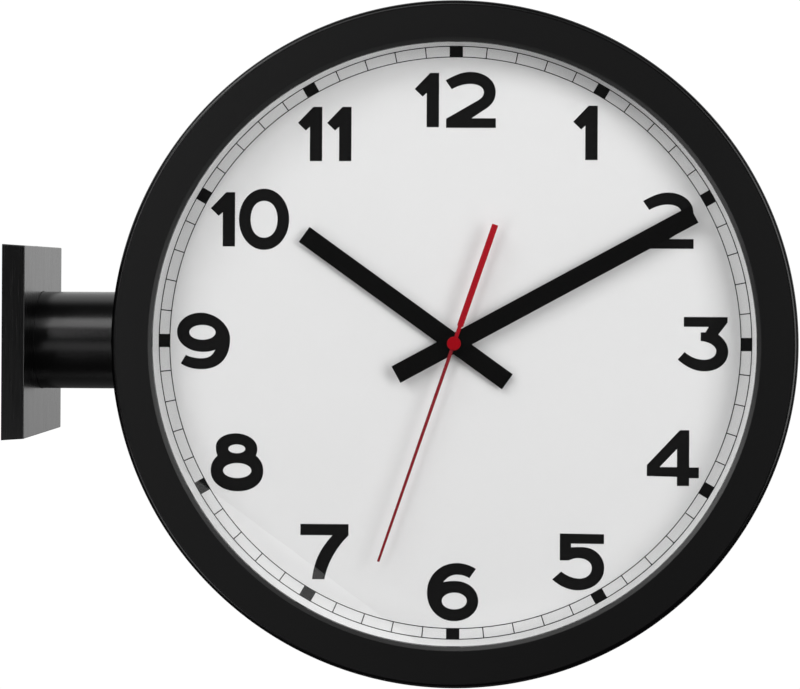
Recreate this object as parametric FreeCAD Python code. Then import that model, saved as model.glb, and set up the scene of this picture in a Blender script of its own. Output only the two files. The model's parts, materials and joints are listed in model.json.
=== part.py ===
"""Double sided station clock on a short wall arm.

Frame of the whole clock: the origin is the middle of the face that lies on the wall, +X runs
away from the wall along the arm, +Z is up, and the front dial faces -Y. Millimetres.

Each side of the clock is built once in its own face frame and then placed twice. In the face
frame x is the viewer's right, y is up, z comes towards the viewer, and the origin is the middle
of the drum. The rear side is the front side turned half a turn about the vertical.
"""
import FreeCAD, Part
import math
import os

V = FreeCAD.Vector

# --- Drum: two pressed bezels on one rolled band -------------------------------------------
DISC_R = 200.0
CASE_DEPTH = 90.0
ARM_REACH = 261.0
SHEET = 1.5
FRONT_Z = CASE_DEPTH / 2
SHOULDER_R = 3.0
LIP_STEP_R = 177.9
LIP_STEP_H = 0.5
LIP_SLOPE_H = 0.9
OPENING_R = 175.8
SKIRT_Z = 29.4
SEAT_GAP = 0.2
BAND_R = DISC_R - SHEET - SEAT_GAP
BAND_IN_R = BAND_R - SHEET
BAND_HALF = 37.0
FLANGE_IN_R = 182.0

# --- Stack behind the glass, measured from the middle plane -------------------------------
DIAL_R = 190.0
DIAL_T = 0.8
DIAL_Z = 25.0
DIAL_BACK_Z = DIAL_Z - DIAL_T
GLASS_R = 187.5
GLASS_T = 3.0
GLASS_TOP_Z = 40.0
GLASS_Z = GLASS_TOP_Z - GLASS_T
GASKET_T = 0.5
GASKET_R = 189.0
SHELF_Z = GLASS_Z - GASKET_T
SPACER_R = 178.5
SPACER_WALL = 2.0
SHELF_R = 192.0
RIM_H = 3.0

# --- Screws -------------------------------------------------------------------------------
M3_R = 1.5
M3_CORE_R = 1.25
M3_HEAD_R = 2.75
M3_HEAD_H = 1.8
BEZEL_SCREW_Z = 33.2
BEZEL_SCREW_TIP_R = 191.0
CONE_H = 1.35
DIAL_SCREW_R = 186.0
DIAL_SCREW_L = 6.0
SCREW_ANGLES = (45.0, 135.0, 225.0, 315.0)

# --- Hands: clock angles are degrees clockwise from twelve --------------------------------
HOUR_AT = 305.65
MINUTE_AT = 61.45
SECOND_AT = 198.9
HOUR_L = 109.0
HOUR_TAIL = 38.5
HOUR_W = 10.9
MINUTE_L = 159.3
MINUTE_TAIL = 38.7
MINUTE_W = 11.0
SECOND_L = 135.1
SECOND_ROOT_W = 2.1
SECOND_TIP_W = 1.5
NECK_W = 2.3
NECK_L = 10.2
WEIGHT_W = 3.7
WEIGHT_L = 73.6
CAP_R = 4.05
CAP_H = 1.4
CAP_EDGE = 0.5
HAND_T = 0.6
SECOND_T = 0.4
HOUR_HAND_Z = 28.2
MINUTE_HAND_Z = 30.6
SECOND_HAND_Z = 33.5
HOUR_COLLET_R = 3.6
HOUR_COLLET_H = 0.5
MINUTE_COLLET_R = 2.6
MINUTE_COLLET_H = 0.8
SECOND_COLLET_R = 1.1
SECOND_COLLET_H = 1.6

# --- Quartz movement: depths are measured back from the dial's rear face -------------------
MOVE_HALF = 28.0
MOVE_D = 16.0
MOVE_WALL = 1.2
COVER_D = 14.8
BUSH_R = 4.0
BUSH_TOP_Z = 27.4
NUT_AF = 10.0
NUT_H = 2.2
BAY_TOP = -12.6
BAY_BOTTOM = -27.4
BAY_FLOOR_D = 0.8
BATTERY_R = 7.25
BATTERY_L = 49.5
BATTERY_Y = -20.0
BATTERY_D = 8.2
NUB_R = 2.75
NUB_L = 1.0
PIVOT_R = 0.3
PIVOT_L = 0.7
PIVOT_PLAY = 0.04
END_PLAY = 0.1

# --- Wheel train ---------------------------------------------------------------------------
ADDENDUM = 0.8
DEDENDUM = 1.15
TOOTH_FILL = 0.40
ROOT_FILL = 1.25
TIP_FILL = 0.55
ROTOR_M = 0.20
SECONDS_M = 0.25
CENTRE_M = 8.5 * 2 / (8 + 64)
MINUTE_M = 0.38
HOUR_M = 9.12 * 2 / (10 + 40)
ROTOR_PINION = 8
INTER_WHEEL = 48
INTER_PINION = 12
SECONDS_WHEEL = 60
SECONDS_PINION = 8
THIRD_WHEEL = 60
THIRD_PINION = 8
CENTRE_WHEEL = 64
CANNON_PINION = 12
MINUTE_WHEEL = 36
MINUTE_PINION = 10
HOUR_WHEEL = 40
SETTING_PINION = 12
INTER_DIR = 115.0
THIRD_DIR = 200.0
MINUTE_DIR = 30.0
SETTING_DIR = 60.0
INTER_C = (INTER_PINION + SECONDS_WHEEL) * SECONDS_M / 2
ROTOR_C = INTER_C + (ROTOR_PINION + INTER_WHEEL) * ROTOR_M / 2
THIRD_C = (SECONDS_PINION + THIRD_WHEEL) * SECONDS_M / 2
MINUTE_C = (CANNON_PINION + MINUTE_WHEEL) * MINUTE_M / 2
SECONDS_ARBOR_R = 0.5
MINUTE_ARBOR_R = 1.5
MINUTE_BORE_R = 0.56
HOUR_PIPE_R = 2.5
HOUR_BORE_R = 1.58
BUSH_BORE_R = 2.56
ARBOR_R = 0.45
KNOB_R = 5.0
KNOB_SHAFT_R = 1.0
MAGNET_R = 3.0
STATOR_HOLE_R = 3.4

# --- Arm -----------------------------------------------------------------------------------
ARM_R = 29.0
ARM_WALL = 2.0
ARM_IN_R = ARM_R - ARM_WALL
FLANGE_T = 8.0
FLANGE_HOLE_R = 8.0
BOLT_R = 2.5
BOLT_HOLE_R = 2.75
BOLT_PITCH = 12.73
BOLT_L = 13.5
BOLT_AF = 8.0
BOLT_HEAD_H = 3.5
SADDLE_Y = 20.0
SADDLE_Z = 30.0
SADDLE_T = 5.0

# --- Wall bracket and its cover --------------------------------------------------------------
BRACKET_HALF = 50.0
BRACKET_T = 3.0
WALL_HOLE_R = 2.75
WALL_HOLE_PITCH = 38.0
SPIGOT_R = 26.9
SPIGOT_IN_R = 23.9
SPIGOT_END_X = 28.0
TAB_Z = 54.4
TAB_T = 2.5
TAB_HALF = 8.0
TAB_END_X = 10.0
SET_SCREW_X = 8.0
SET_SCREW_R = 2.5
SET_SCREW_L = 4.4
SET_KEY_AF = 2.5
SET_KEY_D = 2.0
COVER_DEPTH = 13.0
COVER_WALL_HALF = 56.8
COVER_FACE_HALF = 55.95
COVER_WALL = 1.5
COVER_HOLE_R = 29.15
COVER_SCREW_X = 6.5
COVER_SCREW_TOP = 56.3
COVER_SCREW_TIP = 47.0

FRONT = FreeCAD.Placement(V(ARM_REACH, 0, 0), FreeCAD.Rotation(V(1, 0, 0), 90))
HALF_TURN = FreeCAD.Placement(V(2 * ARM_REACH, 0, 0), FreeCAD.Rotation(V(0, 0, 1), 180))
REAR = HALF_TURN.multiply(FRONT)
SIDES = (("front", FRONT), ("rear", REAR))


# --- Plain shapes ----------------------------------------------------------------------------
def box(x0, x1, y0, y1, z0, z1):
    """Block between two corners."""
    return Part.makeBox(x1 - x0, y1 - y0, z1 - z0, V(x0, y0, z0))


def rod(radius, z0, z1, at=V(0, 0, 0)):
    """Round bar along Z."""
    return Part.makeCylinder(radius, z1 - z0, V(at.x, at.y, z0))


def pipe(r_in, r_out, z0, z1, at=V(0, 0, 0)):
    """Round pipe along Z."""
    return rod(r_out, z0, z1, at).cut(rod(r_in, z0, z1, at))


def rod_x(radius, x0, x1, y=0.0, z=0.0):
    """Round bar along X."""
    return Part.makeCylinder(radius, x1 - x0, V(x0, y, z), V(1, 0, 0))


def hexagon(across_flats, z0, z1):
    """Hexagonal bar along Z."""
    corner_r = across_flats / math.sqrt(3)
    corners = [polar(corner_r, 60.0 * i) for i in range(7)]
    wire = Part.makePolygon([V(c.x, c.y, z0) for c in corners])
    return Part.Face(wire).extrude(V(0, 0, z1 - z0))


def plate(points, z0, z1):
    """Flat plate with straight edges, from its corners (x, y)."""
    corners = [V(x, y, z0) for x, y in points]
    return Part.Face(Part.makePolygon(corners + corners[:1])).extrude(V(0, 0, z1 - z0))


def polar(radius, angle):
    """Point at an angle in degrees, counter-clockwise from the viewer's right."""
    return V(radius * math.cos(math.radians(angle)), radius * math.sin(math.radians(angle)), 0)


def turned(shape, axis, angle):
    """Copy of a shape turned about an axis through the origin."""
    copy = shape.copy()
    copy.rotate(V(0, 0, 0), axis, angle)
    return copy


def fused(shapes):
    """One solid from several that touch or overlap."""
    return shapes[0].fuse(shapes[1:]).removeSplitter()


def cut(shape, tools):
    """Shape with every tool taken away."""
    return shape.cut(Part.makeCompound(tools))


def depth(d):
    """Height in the face frame of a depth behind the dial."""
    return DIAL_BACK_Z - d


def slab(radius, d0, d1, at=V(0, 0, 0)):
    """Round bar between two depths behind the dial."""
    return rod(radius, depth(d1), depth(d0), at)


def brick(x0, x1, y0, y1, d0, d1):
    """Block between two depths behind the dial."""
    return box(x0, x1, y0, y1, depth(d1), depth(d0))


# --- Toothed wheels --------------------------------------------------------------------------
def gear(teeth, module, d0, d1, at, tooth_at):
    """Toothed disc between two depths, with one tooth pointing along tooth_at."""
    pitch_r = teeth * module / 2
    root_r = pitch_r - DEDENDUM * module
    tip_r = pitch_r + ADDENDUM * module
    half_tooth = TOOTH_FILL * math.pi * module / 2
    root_half = math.degrees(half_tooth * ROOT_FILL / root_r)
    tip_half = math.degrees(half_tooth * TIP_FILL / tip_r)
    points = []
    for i in range(teeth):
        middle = tooth_at + 360.0 * i / teeth
        corners = ((root_r, -root_half), (tip_r, -tip_half), (tip_r, tip_half), (root_r, root_half))
        for radius, offset in corners:
            point = polar(radius, middle + offset)
            points.append((at.x + point.x, at.y + point.y))
    return plate(points, depth(d1), depth(d0))


def meshed(driver_teeth, driver_at, driven_teeth, direction):
    """Tooth direction of a wheel that meshes with a driver lying opposite to direction."""
    lag = (direction - driver_at) * driver_teeth / driven_teeth
    return direction + 180.0 + lag + 180.0 / driven_teeth


def arbor(radius, d0, d1, at):
    """Arbor with a thin pivot at each end."""
    ends = (slab(PIVOT_R, d0 - PIVOT_L, d0, at), slab(PIVOT_R, d1, d1 + PIVOT_L, at))
    return [slab(radius, d0, d1, at), ends[0], ends[1]]


ARBOR_TOP_D = MOVE_WALL + END_PLAY
ARBOR_END_D = COVER_D - END_PLAY
CENTRE_AT = V(0, 0, 0)
INTER_AT = polar(INTER_C, INTER_DIR)
ROTOR_AT = polar(ROTOR_C, INTER_DIR)
THIRD_AT = polar(THIRD_C, THIRD_DIR)
MINUTE_WHEEL_AT = polar(MINUTE_C, MINUTE_DIR)
SETTING_AT = MINUTE_WHEEL_AT + polar(MINUTE_C, SETTING_DIR)
PIVOTED = (INTER_AT, ROTOR_AT, THIRD_AT, MINUTE_WHEEL_AT)


# --- Drum ------------------------------------------------------------------------------------
def bezel():
    """Pressed ring: skirt, round shoulder, flat face, stepped lip and short wall to the glass."""
    flat_r = DISC_R - SHOULDER_R
    shoulder_z = FRONT_Z - SHOULDER_R
    back_z = FRONT_Z - SHEET
    step_z = FRONT_Z - LIP_STEP_H
    lip_z = step_z - LIP_SLOPE_H
    under_z = lip_z - SHEET / 2

    def bend(radius, start, end):
        """Quarter bend of the section at the shoulder, from its radius and two directions."""
        points = []
        for angle in (start, (start + end) / 2, end):
            turn = polar(radius, angle)
            points.append(V(flat_r + turn.x, 0, shoulder_z + turn.y))
        return Part.Arc(*points).toShape()

    def path(*points):
        """Straight edges of the section through points given as radius and height."""
        places = [V(r, 0, z) for r, z in points]
        return [Part.makeLine(p, q) for p, q in zip(places, places[1:])]

    edges = path((DISC_R, SKIRT_Z), (DISC_R, shoulder_z))
    edges.append(bend(SHOULDER_R, 0, 90))
    edges += path((flat_r, FRONT_Z), (LIP_STEP_R, FRONT_Z), (LIP_STEP_R, step_z),
                  (OPENING_R, lip_z), (OPENING_R, GLASS_TOP_Z),
                  (OPENING_R + SHEET, GLASS_TOP_Z), (OPENING_R + SHEET, under_z),
                  (LIP_STEP_R + SHEET, back_z), (flat_r, back_z))
    edges.append(bend(SHOULDER_R - SHEET, 90, 0))
    edges += path((DISC_R - SHEET, shoulder_z), (DISC_R - SHEET, SKIRT_Z), (DISC_R, SKIRT_Z))
    ring = Part.Face(Part.Wire(edges)).revolve(V(0, 0, 0), V(0, 0, 1), 360)
    return cut(ring, [bezel_screw(angle) for angle in SCREW_ANGLES])


def bezel_screw(angle):
    """Countersunk screw pointing at the drum's middle from the skirt."""
    head_top = DISC_R - 0.05
    head = Part.makeCone(M3_R, M3_HEAD_R, CONE_H, V(head_top - CONE_H, 0, 0), V(1, 0, 0))
    shank = rod_x(M3_R, BEZEL_SCREW_TIP_R, head_top - CONE_H)
    screw = head.fuse(shank)
    screw.translate(V(0, 0, BEZEL_SCREW_Z))
    return turned(screw, V(0, 0, 1), angle)


def bezel_screws():
    """Eight screws, four for each bezel."""
    front = [bezel_screw(angle) for angle in SCREW_ANGLES]
    rear = [turned(screw, V(0, 1, 0), 180) for screw in front]
    return front + rear


def dial_screw_at(angle):
    """Place of a dial screw in the face frame."""
    return polar(DIAL_SCREW_R, angle)


def dial_screws():
    """Eight pan head screws, four for each dial."""
    screws = []
    for angle in SCREW_ANGLES:
        at = dial_screw_at(angle)
        head = rod(M3_HEAD_R, DIAL_Z, DIAL_Z + M3_HEAD_H, at)
        screw = head.fuse(rod(M3_CORE_R, DIAL_Z - DIAL_SCREW_L, DIAL_Z, at))
        screws.append(screw)
        screws.append(turned(screw, V(0, 1, 0), 180))
    return screws


def case_band():
    """Rolled band with a flange for each dial, holes for every screw and for the arm's bolts."""
    flange = pipe(FLANGE_IN_R, BAND_IN_R + SHEET / 2, DIAL_BACK_Z - SHEET, DIAL_BACK_Z)
    band = fused([pipe(BAND_IN_R, BAND_R, -BAND_HALF, BAND_HALF), flange,
                  turned(flange, V(0, 1, 0), 180)])
    tools = bezel_screws()
    for angle in SCREW_ANGLES:
        tools.append(rod(M3_CORE_R, -BAND_HALF, BAND_HALF, dial_screw_at(angle)))
    for y in (-BOLT_PITCH, BOLT_PITCH):
        for z in (-BOLT_PITCH, BOLT_PITCH):
            tools.append(rod_x(BOLT_HOLE_R, -DISC_R, -DISC_R + FLANGE_T, y, z))
    return cut(band, tools)


# --- Behind the glass ------------------------------------------------------------------------
def glass():
    """Flat round pane."""
    return rod(GLASS_R, GLASS_Z, GLASS_TOP_Z)


def glass_gasket():
    """Angle section seal under and around the pane."""
    base = pipe(SPACER_R + SPACER_WALL, GASKET_R, SHELF_Z, GLASS_Z)
    edge = pipe(GLASS_R + 0.1, GASKET_R, GLASS_Z, SHELF_Z + RIM_H)
    return fused([base, edge])


def dial_ring():
    """Spacer between dial and glass: a wall, a shelf and a rim that centres the seal."""
    wall = pipe(SPACER_R, SPACER_R + SPACER_WALL, DIAL_Z, SHELF_Z)
    shelf = pipe(SPACER_R, SHELF_R, SHELF_Z - SHEET, SHELF_Z)
    rim = pipe(GASKET_R, GASKET_R + SHEET, SHELF_Z - SHEET, SHELF_Z + RIM_H)
    return fused([wall, shelf, rim])


def dial():
    """Printed sheet with a centre hole and four screw holes."""
    holes = [rod(M3_R + 0.1, DIAL_BACK_Z, DIAL_Z, dial_screw_at(a)) for a in SCREW_ANGLES]
    holes.append(rod(BUSH_R + 0.1, DIAL_BACK_Z, DIAL_Z))
    return cut(rod(DIAL_R, DIAL_BACK_Z, DIAL_Z), holes)


# --- Hands -----------------------------------------------------------------------------------
def bar_hand(length, tail, width, z, bore, collet_r, collet_h, clock_angle):
    """Straight bar hand with a collet under it, pointing along a clock angle."""
    half = width / 2
    blade = box(-half, half, -tail, length, z, z + HAND_T)
    hand = fused([blade, rod(collet_r, z - collet_h, z)])
    hand = cut(hand, [rod(bore, z - collet_h, z + HAND_T)])
    return turned(hand, V(0, 0, 1), -clock_angle)


def hour_hand():
    """Shorter black hand."""
    return bar_hand(HOUR_L, HOUR_TAIL, HOUR_W, HOUR_HAND_Z, HOUR_PIPE_R,
                    HOUR_COLLET_R, HOUR_COLLET_H, HOUR_AT)


def minute_hand():
    """Longer black hand."""
    return bar_hand(MINUTE_L, MINUTE_TAIL, MINUTE_W, MINUTE_HAND_Z, MINUTE_ARBOR_R,
                    MINUTE_COLLET_R, MINUTE_COLLET_H, MINUTE_AT)


def second_hand():
    """Thin needle with a bar shaped counterweight and a round cap over the hub."""
    z = SECOND_HAND_Z
    top = z + SECOND_T
    root = SECOND_ROOT_W / 2
    tip = SECOND_TIP_W / 2
    neck = NECK_W / 2
    weight = WEIGHT_W / 2
    outline = ((-root, 0), (-tip, SECOND_L), (tip, SECOND_L), (root, 0),
               (neck, 0), (neck, -NECK_L), (weight, -NECK_L), (weight, -WEIGHT_L),
               (-weight, -WEIGHT_L), (-weight, -NECK_L), (-neck, -NECK_L), (-neck, 0))
    cap = rod(CAP_R, top, top + CAP_H - CAP_EDGE)
    dome = Part.makeCone(CAP_R, CAP_R - CAP_EDGE, CAP_EDGE, V(0, 0, top + CAP_H - CAP_EDGE))
    collet = rod(SECOND_COLLET_R, z - SECOND_COLLET_H, z)
    hand = fused([plate(outline, z, top), collet, cap, dome])
    hand = cut(hand, [rod(SECONDS_ARBOR_R, z - SECOND_COLLET_H, top)])
    return turned(hand, V(0, 0, 1), -SECOND_AT)


# --- Wheel train -----------------------------------------------------------------------------
def seconds_wheel():
    """Seconds arbor with its wheel, driven by the intermediate pinion, and its pinion."""
    pinion = gear(SECONDS_PINION, SECONDS_M, 9.0, 10.6, CENTRE_AT, THIRD_DIR)
    wheel = gear(SECONDS_WHEEL, SECONDS_M, 11.2, 12.0, CENTRE_AT, INTER_DIR)
    hub = slab(0.7, 10.4, 11.4)
    shaft = rod(SECONDS_ARBOR_R, depth(ARBOR_END_D), SECOND_HAND_Z + SECOND_T)
    pivot = slab(PIVOT_R, ARBOR_END_D, ARBOR_END_D + PIVOT_L)
    return fused([shaft, pivot, pinion, hub, wheel])


def intermediate_wheel():
    """Wheel turned by the rotor, and the pinion that turns the seconds wheel."""
    at_pinion = meshed(SECONDS_WHEEL, INTER_DIR, INTER_PINION, INTER_DIR)
    pinion = gear(INTER_PINION, SECONDS_M, 11.0, 12.8, INTER_AT, at_pinion)
    wheel = gear(INTER_WHEEL, ROTOR_M, 12.8, 13.4, INTER_AT, INTER_DIR)
    return fused(arbor(ARBOR_R, ARBOR_TOP_D, ARBOR_END_D, INTER_AT) + [pinion, wheel])


def rotor():
    """Round magnet of the stepping motor on its arbor with a pinion."""
    at_pinion = meshed(INTER_WHEEL, INTER_DIR, ROTOR_PINION, INTER_DIR)
    pinion = gear(ROTOR_PINION, ROTOR_M, 12.6, 13.8, ROTOR_AT, at_pinion)
    magnet = slab(MAGNET_R, 4.0, 7.0, ROTOR_AT)
    return fused(arbor(0.4, ARBOR_TOP_D, ARBOR_END_D, ROTOR_AT) + [pinion, magnet])


def third_wheel():
    """Wheel turned by the seconds pinion, and the pinion that turns the centre wheel."""
    at_wheel = meshed(SECONDS_PINION, THIRD_DIR, THIRD_WHEEL, THIRD_DIR)
    wheel = gear(THIRD_WHEEL, SECONDS_M, 9.4, 10.2, THIRD_AT, at_wheel)
    pinion = gear(THIRD_PINION, CENTRE_M, 6.2, 9.4, THIRD_AT, THIRD_DIR)
    return fused(arbor(ARBOR_R, ARBOR_TOP_D, ARBOR_END_D, THIRD_AT) + [pinion, wheel])


def centre_wheel():
    """Wheel that grips the minute arbor by friction, so the hands can be set."""
    at_wheel = meshed(THIRD_PINION, THIRD_DIR, CENTRE_WHEEL, THIRD_DIR + 180.0)
    wheel = gear(CENTRE_WHEEL, CENTRE_M, 6.4, 7.2, CENTRE_AT, at_wheel)
    return cut(wheel, [slab(MINUTE_ARBOR_R + 0.05, 6.0, 8.0)])


def minute_arbor():
    """Hollow arbor of the minute hand with the cannon pinion and a collar behind the clutch."""
    pinion = gear(CANNON_PINION, MINUTE_M, 3.6, 6.0, CENTRE_AT, MINUTE_DIR)
    collar = slab(2.4, 7.6, 8.2)
    stem = rod(MINUTE_ARBOR_R, depth(8.2), MINUTE_HAND_Z + HAND_T + 0.2)
    solid = fused([stem, pinion, collar])
    return cut(solid, [rod(MINUTE_BORE_R, depth(9.0), MINUTE_HAND_Z + 2 * HAND_T)])


def minute_wheel():
    """Wheel turned by the cannon pinion, and the pinion that turns the hour wheel."""
    at_wheel = meshed(CANNON_PINION, MINUTE_DIR, MINUTE_WHEEL, MINUTE_DIR)
    wheel = gear(MINUTE_WHEEL, MINUTE_M, 4.0, 4.8, MINUTE_WHEEL_AT, at_wheel)
    pinion = gear(MINUTE_PINION, HOUR_M, 2.0, 4.0, MINUTE_WHEEL_AT, MINUTE_DIR)
    return fused(arbor(0.5, ARBOR_TOP_D, ARBOR_END_D, MINUTE_WHEEL_AT) + [pinion, wheel])


def hour_wheel():
    """Hour wheel with the pipe that carries the hour hand."""
    at_wheel = meshed(MINUTE_PINION, MINUTE_DIR, HOUR_WHEEL, MINUTE_DIR + 180.0)
    wheel = gear(HOUR_WHEEL, HOUR_M, 2.0, 2.8, CENTRE_AT, at_wheel)
    stem = rod(HOUR_PIPE_R, depth(2.8), HOUR_HAND_Z + 2 * HAND_T)
    return cut(fused([stem, wheel]), [rod(HOUR_BORE_R, depth(4.0), HOUR_HAND_Z + 3 * HAND_T)])


def setting_knob():
    """Grooved knob behind the movement, its shaft and the pinion that turns the minute wheel."""
    wheel_at = meshed(CANNON_PINION, MINUTE_DIR, MINUTE_WHEEL, MINUTE_DIR)
    at_pinion = meshed(MINUTE_WHEEL, wheel_at, SETTING_PINION, SETTING_DIR)
    pinion = gear(SETTING_PINION, MINUTE_M, 3.8, 5.0, SETTING_AT, at_pinion)
    shaft = slab(KNOB_SHAFT_R, ARBOR_TOP_D, MOVE_D + 0.4, SETTING_AT)
    pivot = slab(PIVOT_R, ARBOR_TOP_D - PIVOT_L, ARBOR_TOP_D, SETTING_AT)
    knob = slab(KNOB_R, MOVE_D + 0.4, MOVE_D + 3.4, SETTING_AT)
    grooves = []
    for i in range(12):
        at = SETTING_AT + polar(KNOB_R + 0.3, 30.0 * i)
        grooves.append(slab(0.7, MOVE_D + 0.4, MOVE_D + 3.4, at))
    return fused([pinion, shaft, pivot, cut(knob, grooves)])


# --- Movement --------------------------------------------------------------------------------
def movement_case():
    """Moulded box with a gear room, a battery bay open at the back, posts and the threaded bush."""
    half = MOVE_HALF
    inner = MOVE_HALF - MOVE_WALL
    cover_edge = BAY_TOP + MOVE_WALL
    room = brick(-half, half, -half, half, 0.0, COVER_D)
    bay = brick(-half, half, -half, cover_edge, 0.0, MOVE_D)
    bush = rod(BUSH_R, DIAL_BACK_Z, BUSH_TOP_Z)
    hollows = [brick(-inner, inner, cover_edge, inner, MOVE_WALL, COVER_D),
               brick(-inner, inner, BAY_BOTTOM, BAY_TOP, BAY_FLOOR_D, MOVE_D)]
    posts = [slab(1.2, MOVE_WALL, 9.0, V(21.0, y, 0)) for y in (-5.0, 21.0)]
    posts += [slab(1.0, MOVE_WALL, 5.0, V(ROTOR_AT.x + x, 17.0, 0)) for x in (-12.5, 12.5)]
    shell = fused([cut(fused([room, bay, bush]), hollows)] + posts)
    bores = [rod(BUSH_BORE_R, depth(MOVE_WALL), BUSH_TOP_Z)]
    for at in PIVOTED + (SETTING_AT,):
        bores.append(slab(PIVOT_R + PIVOT_PLAY, MOVE_WALL - PIVOT_L, MOVE_WALL, at))
    return cut(shell, bores)


def movement_cover():
    """Rear lid of the gear room with the bearing holes and the hole for the setting shaft."""
    half = MOVE_HALF
    lid = brick(-half, half, BAY_TOP + MOVE_WALL, half, COVER_D, MOVE_D)
    bores = [slab(KNOB_SHAFT_R + 0.06, COVER_D, MOVE_D, SETTING_AT)]
    for at in PIVOTED + (CENTRE_AT,):
        bores.append(slab(PIVOT_R + PIVOT_PLAY, COVER_D, COVER_D + PIVOT_L, at))
    return cut(lid, bores)


def stator():
    """Flat steel loop round the rotor; its upper bar is the core of the coil."""
    x = ROTOR_AT.x
    loop = brick(x - 14.0, x + 14.0, 9.3, 23.7, 5.0, 6.0)
    window = brick(x - 11.0, x + 11.0, 17.2, 20.7, 5.0, 6.0)
    return cut(loop, [window, slab(STATOR_HOLE_R, 5.0, 6.0, ROTOR_AT)])


def coil():
    """Bobbin with its winding, round the upper bar of the stator."""
    x = ROTOR_AT.x
    z = depth(5.5)
    winding = rod_x(3.5, x - 11.0, x + 11.0, 22.2, z)
    cheeks = [rod_x(4.15, x + side - 0.4, x + side + 0.4, 22.2, z) for side in (-10.6, 10.6)]
    return cut(fused([winding] + cheeks), [brick(x - 12.0, x + 12.0, 20.65, 23.75, 4.95, 6.05)])


def circuit_board():
    """Small board with the covered chip and the crystal's can."""
    board = brick(16.5, 26.0, -8.0, 24.0, 9.0, 9.8)
    chip = slab(3.2, 9.8, 10.9, V(21.2, 4.0, 0))
    can = Part.makeCylinder(1.0, 6.0, V(21.2, 11.0, depth(10.6)), V(0, 1, 0))
    return fused([board, chip, can])


def battery():
    """AA cell with its raised pole to the viewer's right."""
    start = -BATTERY_L / 2
    z = depth(BATTERY_D)
    cell = rod_x(BATTERY_R, start, start + BATTERY_L, BATTERY_Y, z)
    nub = rod_x(NUB_R, start + BATTERY_L, start + BATTERY_L + NUB_L, BATTERY_Y, z)
    return fused([cell, nub])


def battery_contacts():
    """Plate against the raised pole, and plate with a bent leaf against the flat pole."""
    inner = MOVE_HALF - MOVE_WALL
    pole = BATTERY_L / 2 + NUB_L
    flat = -BATTERY_L / 2
    y0 = BATTERY_Y - 4.5
    y1 = BATTERY_Y + 4.5
    d0 = BATTERY_D - 3.5
    d1 = BATTERY_D + 3.5
    plus = brick(pole, inner, y0, y1, d0, d1)
    back = brick(-inner, -inner + 0.4, y0, y1, d0, d1)
    leaf = ((-inner + 0.4, y0 + 0.5), (flat, BATTERY_Y - 0.6), (flat, BATTERY_Y + 0.6),
            (-inner + 0.4, y1 - 0.5), (-inner + 0.4, y1 - 1.1), (flat - 0.5, BATTERY_Y),
            (-inner + 0.4, y0 + 1.1))
    minus = fused([back, plate(leaf, depth(d1 - 1.0), depth(d0 + 1.0))])
    return [plus, minus]


def movement_nuts():
    """Two thin hexagonal nuts that clamp the dials to the movements."""
    nut = cut(hexagon(NUT_AF, DIAL_Z, DIAL_Z + NUT_H), [rod(BUSH_R, DIAL_Z, DIAL_Z + NUT_H)])
    return [nut, turned(nut, V(0, 1, 0), 180)]


# --- Arm, in the frame of the whole clock ------------------------------------------------------
def drum_rod(radius):
    """Solid drum of a given radius, about the clock's own axis."""
    return Part.makeCylinder(radius, 2 * DISC_R, V(ARM_REACH, -DISC_R, 0), V(0, 1, 0))


def about_arm(shape, angle):
    """Copy of a shape turned about the arm's axis."""
    return turned(shape, V(1, 0, 0), angle)


def set_screw(angle):
    """Hexagon socket set screw that holds the arm on the bracket's spigot."""
    body = rod(SET_SCREW_R, ARM_R - 0.1 - SET_SCREW_L, ARM_R - 0.1)
    body = cut(body, [hexagon(SET_KEY_AF, ARM_R - 0.1 - SET_KEY_D, ARM_R)])
    body.translate(V(SET_SCREW_X, 0, 0))
    return about_arm(body, angle)


def set_screw_holes():
    """Round tools for the holes of the three set screws."""
    hole = rod(SET_SCREW_R, SPIGOT_IN_R - 2.0, ARM_R + 2.0, V(SET_SCREW_X, 0, 0))
    return [about_arm(hole, angle) for angle in (0.0, 120.0, 240.0)]


def arm_set_screws():
    """Three set screws, hidden under the wall cover."""
    return [set_screw(angle) for angle in (0.0, 120.0, 240.0)]


def arm_tube():
    """Round tube from the bracket to the drum, its end shaped to the drum's band."""
    outer = rod_x(ARM_R, BRACKET_T, ARM_REACH - BAND_IN_R)
    hollow = rod_x(ARM_IN_R, BRACKET_T, ARM_REACH - BAND_IN_R)
    return cut(outer, [hollow, drum_rod(BAND_R)] + set_screw_holes())


def bolt_tools(radius, x0, x1):
    """Round tools at the four places of the arm's bolts."""
    places = (-BOLT_PITCH, BOLT_PITCH)
    return [rod_x(radius, x0, x1, y, z) for y in places for z in places]


def arm_flange():
    """Thick washer welded inside the drum end of the tube, tapped for the bolts."""
    start = ARM_REACH - BAND_R - FLANGE_T
    end = start + 2 * FLANGE_T
    body = rod_x(ARM_IN_R, start, end)
    tools = [drum_rod(BAND_R), rod_x(FLANGE_HOLE_R, start, end)]
    return cut(body, tools + bolt_tools(BOLT_R, start, end))


def arm_saddle():
    """Block inside the drum: curved against the band, flat under the bolt heads."""
    flat_x = ARM_REACH - BAND_IN_R + SADDLE_T
    block = box(flat_x - 2 * SADDLE_T, flat_x, -SADDLE_Y, SADDLE_Y, -SADDLE_Z, SADDLE_Z)
    body = block.common(drum_rod(BAND_IN_R))
    return cut(body, bolt_tools(BOLT_HOLE_R, flat_x - 2 * SADDLE_T, flat_x))


def arm_bolts():
    """Four hexagon head bolts from inside the drum into the welded washer."""
    flat_x = ARM_REACH - BAND_IN_R + SADDLE_T
    bolts = []
    for shank in bolt_tools(BOLT_R, flat_x - BOLT_L, flat_x):
        head = turned(hexagon(BOLT_AF, 0, BOLT_HEAD_H), V(0, 1, 0), 90)
        centre = shank.CenterOfMass
        head.translate(V(flat_x, centre.y, centre.z))
        bolts.append(fused([shank, head]))
    return bolts


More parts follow.
